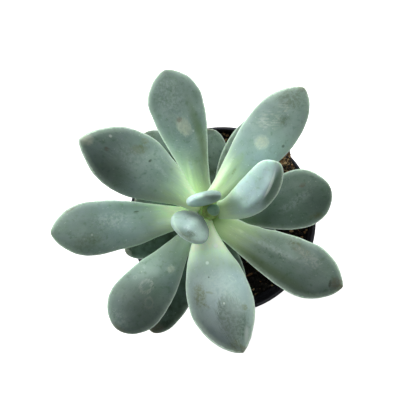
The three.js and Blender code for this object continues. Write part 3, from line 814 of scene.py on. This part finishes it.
def drill_holes(piece, circle):
    """Cuts the drain holes through the pot's floor."""
    verts, faces = [], []
    sides = 40
    for hole in range(HOLE_COUNT):
        heading = hole / HOLE_COUNT * 2 * math.pi
        first = len(verts)
        for z in (-3.0, 3 * CHANNEL_HEIGHT):
            for i in range(sides):
                turn = i / sides * 2 * math.pi
                verts.append(((circle * math.cos(heading) + HOLE_RADIUS * math.cos(turn)) * MM,
                              (circle * math.sin(heading) + HOLE_RADIUS * math.sin(turn)) * MM, z * MM))
        for i in range(sides):
            j = (i + 1) % sides
            faces.append((first + i, first + j, first + sides + j, first + sides + i))
        faces.append(tuple(first + i for i in reversed(range(sides))))
        faces.append(tuple(first + sides + i for i in range(sides)))
    mesh = bpy.data.meshes.new("drill")
    mesh.from_pydata(verts, [], faces)
    drill = bpy.data.objects.new("drill", mesh)
    bpy.context.scene.collection.objects.link(drill)
    cut = piece.modifiers.new("holes", "BOOLEAN")
    cut.operation = "DIFFERENCE"
    cut.solver = "EXACT"
    cut.object = drill
    graph = bpy.context.evaluated_depsgraph_get()
    result = bpy.data.meshes.new_from_object(piece.evaluated_get(graph))
    piece.modifiers.clear()
    piece.data = result
    bpy.data.objects.remove(drill)


POT_BLACK = colour(0.010, 0.010, 0.013)
POT_GREY = colour(0.016, 0.016, 0.020)
POT_LIP_HIGHLIGHT = colour(0.055, 0.055, 0.066)
POT_DUST = colour(0.13, 0.115, 0.10)


def pot_plastic():
    """Black plastic with a painted highlight on its lip, and soil dust, most of it near the rim."""
    material, tree, shader, here = new_material("black pot plastic")
    grain = noise(tree, here, 2600.0, 3.0, 0.6)
    cast = noise(tree, here, 60.0, 3.0, 0.5)
    height = parts(tree, here)[2]
    base = blend(tree, step(tree, cast, 0.3, 0.7), POT_BLACK, POT_GREY)
    # painted highlight: the lip lighter than the rest of the plastic
    lip = step(tree, height, (POT_HEIGHT - 2.5) * MM, (POT_HEIGHT - 0.5) * MM)
    base = blend(tree, lip, base, POT_LIP_HIGHLIGHT)
    dusty = step(tree, noise(tree, here, 240.0, 5.0, 0.7), 0.52, 0.8, 0.0, 0.4)
    near_rim = step(tree, height, (POT_HEIGHT - 18.0) * MM, (POT_HEIGHT + 0.5) * MM)
    share = maths(tree, "ADD", times(tree, near_rim, 0.5), 0.25)
    dusty = times(tree, dusty, share)
    base = blend(tree, dusty, base, POT_DUST)
    rough = maths(tree, "ADD", step(tree, grain, 0.3, 0.7, 0.30, 0.40), dusty)
    low = bump(tree, grain, 0.2, 0.06 * MM)
    connect(tree, shader, base, rough, bump(tree, cast, 0.12, 0.5 * MM, low))
    shader.inputs["Specular IOR Level"].default_value = 0.2
    shader.inputs["IOR"].default_value = 1.45
    return material


# Stem

SCAR_COUNT = 14
FIRST_SCAR = 78.0
SCAR_PITCH = 1.5
SCAR_TURN = 137.5
SCAR_LIP = 0.38
SCAR_DIP = 0.22
GREEN_FROM = 88.0
GREEN_TO = 108.0
CORK_UP_TO = 95.0
STEM_OLD = colour(0.20, 0.22, 0.10)
STEM_YOUNG = colour(0.42, 0.60, 0.20)
STEM_MOTTLE = colour(0.16, 0.12, 0.07)
STEM_CORK = colour(0.24, 0.17, 0.10)


def make_stem(material):
    """A fleshy stem with a spiral of crescent scars where older leaves stood."""
    z = np.linspace(STEM_FOOT[2], STEM_TIP[2], STEM_ROWS)
    turn = turns(STEM_SIDES)
    centre = stem_centre(z)
    radius = stem_radius(z)[:, None] * np.ones(STEM_SIDES)
    scar = np.zeros_like(radius)
    for i in range(SCAR_COUNT):
        height = FIRST_SCAR + SCAR_PITCH * i
        heading = math.radians(SCAR_TURN * i)
        around = (turn[None, :] - heading + np.pi) % (2 * np.pi) - np.pi
        lift = z[:, None] - height - 0.6 * np.cos(around * 1.4)
        lip = np.exp(-(lift / 0.42) ** 2) * smooth(-np.abs(around), -0.85, -0.55)
        dip = np.exp(-((lift - 0.9) / 0.7) ** 2) * smooth(-np.abs(around), -0.7, -0.35)
        radius = radius + SCAR_LIP * lip - SCAR_DIP * dip
        scar = np.maximum(scar, np.maximum(lip, dip))
    outward = ring(1.0, turn, 0.0)
    points = centre[:, None, :] + radius[..., None] * outward[None, :, :]
    points = points.reshape(-1, 3)
    bumps = 0.12 * ripple(points, 4.0, SEED + 90)
    points = points + np.tile(outward, (STEM_ROWS, 1)) * bumps[:, None]
    ends = np.vstack([centre[0], centre[-1] + [0, 0, SEAT_GAP]])
    points = np.vstack([points, ends])
    faces = tube_faces(STEM_ROWS, STEM_SIDES)
    piece = make_piece("stem_scarred", points, faces, material, "stem")
    write_numbers(piece, "scar", np.append(scar.ravel(), [0, 0]))
    return piece


def stem_skin():
    """Green at the top, browner and mottled further down, with corky scars."""
    material, tree, shader, here = new_material("stem skin")
    height = parts(tree, here)[2]
    young = step(tree, height, GREEN_FROM * MM, GREEN_TO * MM)
    green = blend(tree, young, STEM_OLD, STEM_YOUNG)
    blotches = step(tree, noise(tree, here, 500.0, 4.0, 0.6), 0.45, 0.7, 0.0, 0.5)
    mottled = blend(tree, blotches, green, STEM_MOTTLE)
    scar = read(tree, "scar", "Fac")
    low_down = step(tree, height, GREEN_TO * MM, CORK_UP_TO * MM)
    corky = times(tree, step(tree, scar, 0.3, 0.8), low_down)
    skin = blend(tree, times(tree, corky, 0.8), mottled, STEM_CORK)
    relief = bump(tree, noise(tree, here, 1400.0, 4.0, 0.6), 0.4, 0.25 * MM)
    connect(tree, shader, skin, step(tree, scar, 0.0, 1.0, 0.5, 0.75), relief)
    shader.inputs["Subsurface Weight"].default_value = 0.15
    shader.inputs["Subsurface Radius"].default_value = (0.7, 1.0, 0.3)
    shader.inputs["Subsurface Scale"].default_value = 2.0 * MM
    return material


# Soil

def soil_top(radius, turn):
    share = radius / inside_radius(SOIL_LEVEL)
    tilt = SOIL_TILT * share * np.cos(turn - math.radians(SOIL_TILT_HEADING))
    heading = math.radians(HEAP_HEADING)
    x = radius * np.cos(turn) - HEAP_RADIUS * math.cos(heading)
    y = radius * np.sin(turn) - HEAP_RADIUS * math.sin(heading)
    far = np.hypot(x, y) / HEAP_SPREAD
    return SOIL_LEVEL + tilt + HEAP_HEIGHT * np.exp(-far * far)


def soil_radius(z):
    return inside_radius(np.minimum(z, POT_HEIGHT)) - SOIL_CLEARANCE


def make_soil_bed(material):
    """The bed of soil under the loose grains: an uneven top on the plug that fills the pot."""
    turn = turns(SOIL_SECTORS)
    edge_top = soil_top(soil_radius(SOIL_LEVEL), turn)
    edge = soil_radius(edge_top)
    bottom = CHANNEL_HEIGHT + FLOOR_THICKNESS + SEAT_GAP
    rings = [ring(soil_radius(z), turn, z) for z in (bottom, *SOIL_SIDE_LEVELS)]
    for row in range(SOIL_RINGS):
        radius = edge * (1 - row / SOIL_RINGS)
        spot = ring(radius, turn, 0.0)
        lumps = 0.55 * ripple(spot, 6.0, SEED + 60) + 0.35 * ripple(spot, 2.4, SEED + 61) - BED_DROP
        rings.append(ring(radius, turn, soil_top(radius, turn) + lumps))
    ends = [[[0, 0, bottom], [0, 0, SOIL_LEVEL - BED_DROP]]]
    points = np.vstack(rings + ends)
    faces = tube_faces(len(rings), SOIL_SECTORS)
    piece = make_piece("soil_bed", points, faces, material, "soil")
    write_numbers(piece, "dry", np.full(len(points), BED_DRYNESS))
    write_numbers(piece, "grain", np.random.default_rng(SEED).uniform(size=len(points)))
    return piece


# Pale chips seen on the soil: x, y, half length, half width and heading
CHIPS = [
    (15.2, -30.1, 2.2, 0.7, 25), (17.3, -38.3, 0.9, 0.6, 60), (27.0, -36.2, 1.3, 0.5, 20),
    (16.8, -42.0, 0.8, 0.6, 110), (25.5, -29.0, 0.8, 0.4, 40), (2.6, 46.0, 1.2, 0.8, 30),
    (-3.4, 46.4, 0.9, 0.7, 0), (45.0, -6.8, 1.0, 0.7, 100), (43.5, -9.5, 0.9, 0.6, 30),
    (41.0, -4.0, 0.8, 0.6, 0), (36.0, -16.0, 0.9, 0.5, 70), (21.0, -34.0, 0.7, 0.4, 150),
]

# A crumb before it is stretched: a rough ball of 20 triangles
GOLDEN = (1 + math.sqrt(5)) / 2
CRUMB = np.array([
    (-1, GOLDEN, 0), (1, GOLDEN, 0), (-1, -GOLDEN, 0), (1, -GOLDEN, 0),
    (0, -1, GOLDEN), (0, 1, GOLDEN), (0, -1, -GOLDEN), (0, 1, -GOLDEN),
    (GOLDEN, 0, -1), (GOLDEN, 0, 1), (-GOLDEN, 0, -1), (-GOLDEN, 0, 1),
]) / math.hypot(1, GOLDEN)
CRUMB_FACES = [
    (0, 11, 5), (0, 5, 1), (0, 1, 7), (0, 7, 10), (0, 10, 11), (1, 5, 9), (5, 11, 4),
    (11, 10, 2), (10, 7, 6), (7, 1, 8), (3, 9, 4), (3, 4, 2), (3, 2, 6), (3, 6, 8),
    (3, 8, 9), (4, 9, 5), (2, 4, 11), (6, 2, 10), (8, 6, 7), (9, 8, 1),
]


def spot_on_bed(draw):
    """Radius, heading and height of a grain that lies on the bed."""
    radius = GRAIN_REACH * math.sqrt(draw.uniform())
    heading = draw.uniform(0, 2 * math.pi)
    level = float(soil_top(radius, heading))
    radius = min(radius, float(soil_radius(level)) - GRAIN_CLEARANCE)
    return radius, heading, level + draw.uniform(-0.9, 0.5)


def spot_on_heap(draw):
    """Radius, heading and height of a grain that lies on the heap or just over the rim."""
    heading = math.radians(draw.normal(HEAP_HEADING + 1.5, 4.6))
    degrees = math.degrees(heading)
    over_rim = SPILL_OVER_RIM * smooth(degrees, 40.0, 47.0)
    radius = draw.uniform(44.0, GRAIN_REACH + over_rim)
    top = SPILL_TOP - 0.28 * max(radius - 47.5, 0) ** 1.4
    top = top - 0.006 * (degrees - HEAP_HEADING) ** 2
    return radius, heading, top + draw.uniform(-0.9, 0.3)


def grain_form(draw):
    """Size and stretch of a crumb, a fibre or a flat flake."""
    size = 0.45 + 0.75 * draw.uniform() ** 2.5
    stretch = np.array([1.0, draw.uniform(0.55, 1.0), draw.uniform(0.4, 0.9)])
    kind = draw.uniform()
    if kind > FIBRE_FROM:
        stretch = np.array([draw.uniform(2.4, 4.0), 0.42, 0.25])
    elif kind > FLAKE_FROM:
        stretch = np.array([1.7, 1.1, 0.3])
    return size, stretch


def tipped_and_spun(shape, nod, spin):
    tip = [[math.cos(nod), 0, math.sin(nod)], [0, 1, 0], [-math.sin(nod), 0, math.cos(nod)]]
    turn = [[math.cos(spin), math.sin(spin), 0], [-math.sin(spin), math.cos(spin), 0], [0, 0, 1]]
    return shape @ np.array(tip) @ np.array(turn)


def make_grains(material):
    """Crumbs, flakes, fibres and chips on the bed, thickest and driest on the heap at the rim."""
    draw = np.random.default_rng(SEED + 1)
    points, faces, dry, grain = [], [], [], []
    first_chip = GRAIN_COUNT + SPILL_COUNT
    for index in range(first_chip + len(CHIPS)):
        spilled = index >= GRAIN_COUNT
        chip = CHIPS[index - first_chip] if index >= first_chip else None
        radius, heading, z = spot_on_heap(draw) if spilled else spot_on_bed(draw)
        size, stretch = grain_form(draw)
        if spilled:
            size *= 0.8
        if chip:
            x, y, long, wide, turn = chip
            radius, heading = math.hypot(x, y), math.atan2(y, x)
            z = float(soil_top(radius, heading)) + 0.4
            size, stretch = 1.0, np.array([long, wide, 0.4])
        shape = CRUMB * draw.uniform(0.75, 1.25, size=(len(CRUMB), 1)) * stretch * size
        spin, nod = draw.uniform(0, 2 * math.pi), draw.normal(0, 0.5)
        if chip:
            spin, nod = math.radians(turn), 0.1
        shape = tipped_and_spun(shape, nod, spin)
        first = len(CRUMB) * index
        points.append(shape + [radius * math.cos(heading), radius * math.sin(heading), z])
        faces += [(a + first, b + first, c + first) for a, b, c in CRUMB_FACES]
        heap = smooth(z, 83.5, 87.5)
        chance = 0.05 + 0.5 * float(heap)
        dryness = draw.uniform(0.45, 1.0) if draw.uniform() < chance else draw.uniform(0.0, 0.28)
        if chip:
            dryness = CHIP_DRYNESS
        dry.append(np.full(len(CRUMB), dryness))
        grain.append(np.full(len(CRUMB), draw.uniform()))
    piece = make_piece("soil_grains", np.vstack(points), faces, material, None, True)
    write_numbers(piece, "dry", np.concatenate(dry))
    write_numbers(piece, "grain", np.concatenate(grain))
    return piece


WET_DARK = colour(0.004, 0.0035, 0.003)
WET_BROWN = colour(0.018, 0.012, 0.008)
DRY_BROWN = colour(0.16, 0.085, 0.035)
DRY_TAN = colour(0.42, 0.30, 0.16)
FLECK = colour(0.03, 0.022, 0.014)


def soil_earth():
    """Black where wet and tan where dry, a shade of its own for each grain."""
    material, tree, shader, here = new_material("potting soil")
    dry = read(tree, "dry", "Fac")
    grain = read(tree, "grain", "Fac")
    wet = blend(tree, grain, WET_DARK, WET_BROWN)
    tan = blend(tree, step(tree, grain, 0.1, 0.9), DRY_BROWN, DRY_TAN)
    earth = blend(tree, step(tree, dry, 0.25, 0.85), wet, tan)
    flecks = step(tree, noise(tree, here, 2200.0, 3.0, 0.6), 0.45, 0.75, 0.0, 0.6)
    earth = blend(tree, flecks, earth, FLECK)
    relief = bump(tree, noise(tree, here, 1800.0, 5.0, 0.7), 0.7, 0.3 * MM)
    connect(tree, shader, earth, step(tree, dry, 0.0, 0.6, 0.62, 0.95), relief)
    shader.inputs["Specular IOR Level"].default_value = 0.3
    return material


# Camera, lights and floor
# The lamp and the floor are given in metres, the camera in millimetres.

BRIGHT_HEADING = 118.0
BRIGHT_TURN = math.radians(BRIGHT_HEADING)
BRIGHT_SIDE = (math.cos(BRIGHT_TURN), math.sin(BRIGHT_TURN), 0.0)
KEY_ELEVATION = 46.0
KEY_DISTANCE = 1.0
KEY_AIM_HEIGHT = 0.1
KEY_SIZE = 1.2
KEY_POWER = 12.0
KEY_TINT = (1.0, 0.99, 0.97)
FLOOR_HALF_WIDTH = 3.0
CAMERA_ABOVE_RIM = 400.0
CAMERA_X = -7.81
CAMERA_Y = 6.52
VIEW_WIDTH_AT_RIM = 222.46
SENSOR = 36.0


def make_camera():
    data = bpy.data.cameras.new("camera")
    data.sensor_width = SENSOR
    data.lens = SENSOR * CAMERA_ABOVE_RIM / VIEW_WIDTH_AT_RIM
    data.clip_start = 0.01
    camera = bpy.data.objects.new("camera", data)
    camera.location = (CAMERA_X * MM, CAMERA_Y * MM, (POT_HEIGHT + CAMERA_ABOVE_RIM) * MM)
    bpy.context.scene.collection.objects.link(camera)
    bpy.context.scene.camera = camera


def make_key_light():
    """A broad lamp that points at the leaves."""
    data = bpy.data.lights.new("key", "AREA")
    data.shape = "DISK"
    data.size = KEY_SIZE
    data.energy = KEY_POWER
    data.color = KEY_TINT
    light = bpy.data.objects.new("key", data)
    lift = math.radians(KEY_ELEVATION)
    level = np.array(BRIGHT_SIDE) * math.cos(lift)
    light.location = (level + [0, 0, math.sin(lift)]) * KEY_DISTANCE + [0, 0, KEY_AIM_HEIGHT]
    light.rotation_euler = (math.pi / 2 - lift, 0.0, BRIGHT_TURN + math.pi / 2)
    bpy.context.scene.collection.objects.link(light)


def make_floor():
    material, _, shader, _ = new_material("white sweep")
    shader.inputs["Base Color"].default_value = colour(0.92, 0.92, 0.92)
    shader.inputs["Roughness"].default_value = 0.9
    shader.inputs["Emission Color"].default_value = colour(1.0, 1.0, 1.0)
    shader.inputs["Emission Strength"].default_value = 0.95
    half = FLOOR_HALF_WIDTH
    corners = [(-half, -half, 0), (half, -half, 0), (half, half, 0), (-half, half, 0)]
    mesh = bpy.data.meshes.new("floor")
    mesh.from_pydata(corners, [], [(0, 1, 2, 3)])
    mesh.materials.append(material)
    floor = bpy.data.objects.new("floor", mesh)
    bpy.context.scene.collection.objects.link(floor)


def make_world():
    """A white tent, dimmer overhead and brightest on the key light's side."""
    world = bpy.data.worlds.new("tent")
    bpy.context.scene.world = world
    world.use_nodes = True
    tree = world.node_tree
    way = add(tree, "ShaderNodeTexCoord").outputs["Generated"]
    height = parts(tree, way)[2]
    toward = vectors(tree, "DOT_PRODUCT", way, BRIGHT_SIDE)["Value"]
    light = step(tree, height, 0.05, 0.75, 1.0, 0.1)
    light = times(tree, light, step(tree, toward, -1.0, 1.0, 0.2, 1.5))
    tree.links.new(light, tree.nodes["Background"].inputs["Strength"])
    tree.nodes["Background"].inputs["Color"].default_value = colour(1.0, 1.0, 1.0)


bpy.context.scene.view_settings.view_transform = "Standard"
make_camera()
make_world()
make_floor()
make_key_light()

make_pot(pot_plastic())
earth = soil_earth()
make_soil_bed(earth)
make_grains(earth)
make_stem(stem_skin())
mark = mark_group()
for leaf_number in range(len(LEAVES)):
    skin = leaf_skin(f"leaf skin {leaf_number + 1:02d}", leaf_number, mark)
    make_leaf(leaf_number, skin)
